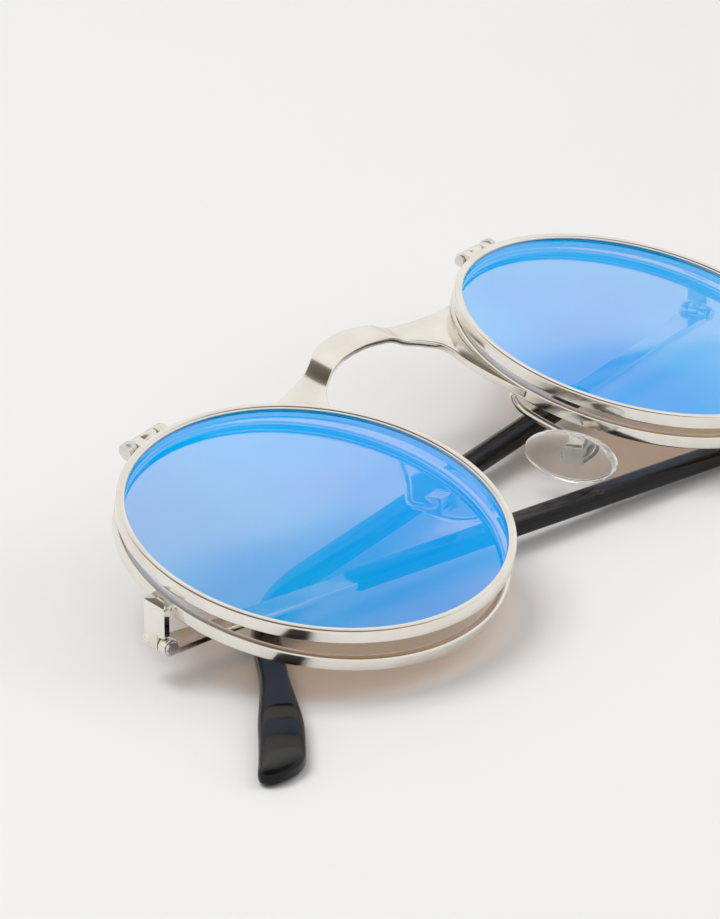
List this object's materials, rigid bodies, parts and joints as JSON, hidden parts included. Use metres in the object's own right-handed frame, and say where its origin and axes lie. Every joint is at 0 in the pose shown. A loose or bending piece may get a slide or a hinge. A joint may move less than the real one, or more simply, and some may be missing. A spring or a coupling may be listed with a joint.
{
  "type": "flip up sunglasses",
  "caption": "Round metal sunglasses with mirrored flip up lenses over clear ones, folding temples with plastic tips and rocking nose pads, lying folded lens side up.",
  "frame": {"origin": "centre of the bounding box on the surface that the folded glasses lie on", "axes": "+X along the width, +Y from cheek to brow, +Z out of the front of the lenses"},
  "size_m": [0.1434, 0.083, 0.019],
  "materials": {
    "frame": "polished warm nickel plate",
    "screw": "machined steel",
    "clear_lens": "clear",
    "mirror_lens": "blue mirror coating",
    "temple_tip": "gloss black",
    "nose_pad": "clear silicone",
    "pad_insert": "clear moulded insert"
  },
  "bodies": {
    "front": {"left_base_rim": "frame", "right_base_rim": "frame", "left_clear_lens": "clear_lens", "right_clear_lens": "clear_lens", "bridge": "frame", "left_endpiece": "frame", "right_endpiece": "frame", "left_temple_screw": "screw", "right_temple_screw": "screw", "left_flip_bracket": "frame", "right_flip_bracket": "frame", "left_flip_screw": "screw", "right_flip_screw": "screw", "left_pad_arm": "frame", "right_pad_arm": "frame", "left_pad_box": "frame", "right_pad_box": "frame", "left_pad_screw": "screw", "right_pad_screw": "screw"},
    "left_temple": {"left_temple_arm": "frame", "left_temple_tip": "temple_tip"},
    "left_flip": {"left_flip_rim": "frame", "left_mirror_lens": "mirror_lens", "left_flip_leaf": "frame"},
    "left_pad": {"left_pad_insert": "pad_insert", "left_nose_pad": "nose_pad"},
    "right_temple": {"right_temple_arm": "frame", "right_temple_tip": "temple_tip"},
    "right_flip": {"right_flip_rim": "frame", "right_mirror_lens": "mirror_lens", "right_flip_leaf": "frame"},
    "right_pad": {"right_pad_insert": "pad_insert", "right_nose_pad": "nose_pad"}
  },
  "joints": [
    {"name": "left_temple_fold", "type": "hinge", "parent": "front", "child": "left_temple", "pos_m": [-0.0564, 0.01993, 0.00531], "axis": [0.2538, 0.9673, 0], "range_deg": [0, 90]},
    {"name": "right_temple_fold", "type": "hinge", "parent": "front", "child": "right_temple", "pos_m": [0.06753, 0.01993, 0.00531], "axis": [0, -1, 0], "range_deg": [0, 90]},
    {"name": "left_flip_lift", "type": "hinge", "parent": "front", "child": "left_flip", "pos_m": [-0.03134, 0.04026, 0.01734], "axis": [-0.9986, 0.0127, -0.0508], "range_deg": [-2.8, 92]},
    {"name": "right_flip_lift", "type": "hinge", "parent": "front", "child": "right_flip", "pos_m": [0.04246, 0.04026, 0.01734], "axis": [-0.9986, -0.0127, 0.0508], "range_deg": [-1.4, 93]},
    {"name": "left_pad_rock", "type": "hinge", "parent": "front", "child": "left_pad", "pos_m": [-0.00799, 0.01224, 0.00705], "axis": [0, 0.1045, 0.9945], "range_deg": [-8, 8]},
    {"name": "right_pad_rock", "type": "hinge", "parent": "front", "child": "right_pad", "pos_m": [0.01671, 0.00654, 0.00675], "axis": [0, 0.1045, 0.9945], "range_deg": [-8, 8]}
  ],
  "couplings": [
    {"joint": "left_temple_fold", "follows": "right_temple_fold", "ratio": 1}
  ]
}
